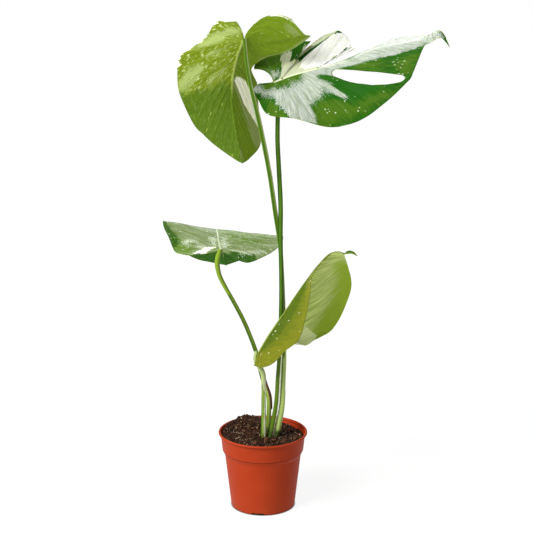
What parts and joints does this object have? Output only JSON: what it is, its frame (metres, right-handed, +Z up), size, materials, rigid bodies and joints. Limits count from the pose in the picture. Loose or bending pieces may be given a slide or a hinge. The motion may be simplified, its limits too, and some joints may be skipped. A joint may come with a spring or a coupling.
{
  "type": "potted thai constellation monstera",
  "caption": "Young climbing aroid with cream-marbled heart-shaped leaves on tall stalks, growing in a filled round nursery pot.",
  "frame": {"origin": "centre of the pot's underside, on the plane it stands on", "axes": "+Z up, -Y towards the viewer of the picture, +X to the viewer's right"},
  "size_m": [0.3697, 0.1758, 0.665],
  "materials": {
    "pot": "satin moulded polypropylene, terracotta colour",
    "soil": "damp coarse peat and coir",
    "stalk": "smooth satin green stalk",
    "young_stalk": "pale green sheathing stalk",
    "dry_sheath": "dry papery brown",
    "leaf_underside": "matte yellow-green with cream marbling",
    "leaf_glossy": "waxy dark green with white marbling",
    "leaf_silvery": "waxy mid green with a silver sheen",
    "leaf_young": "soft satin yellow-green"
  },
  "bodies": {
    "root": {"pot": "pot", "soil": "soil", "stem": "stalk", "petiole_upper_left": "stalk", "petiole_upper_right": "stalk", "petiole_middle_left": "stalk", "petiole_lower_right": "young_stalk", "dry_sheath": "dry_sheath", "leaf_upper_left": "leaf_underside", "leaf_upper_right": "leaf_glossy", "leaf_middle_left": "leaf_silvery", "leaf_lower_right": "leaf_young"}
  },
  "joints": []
}
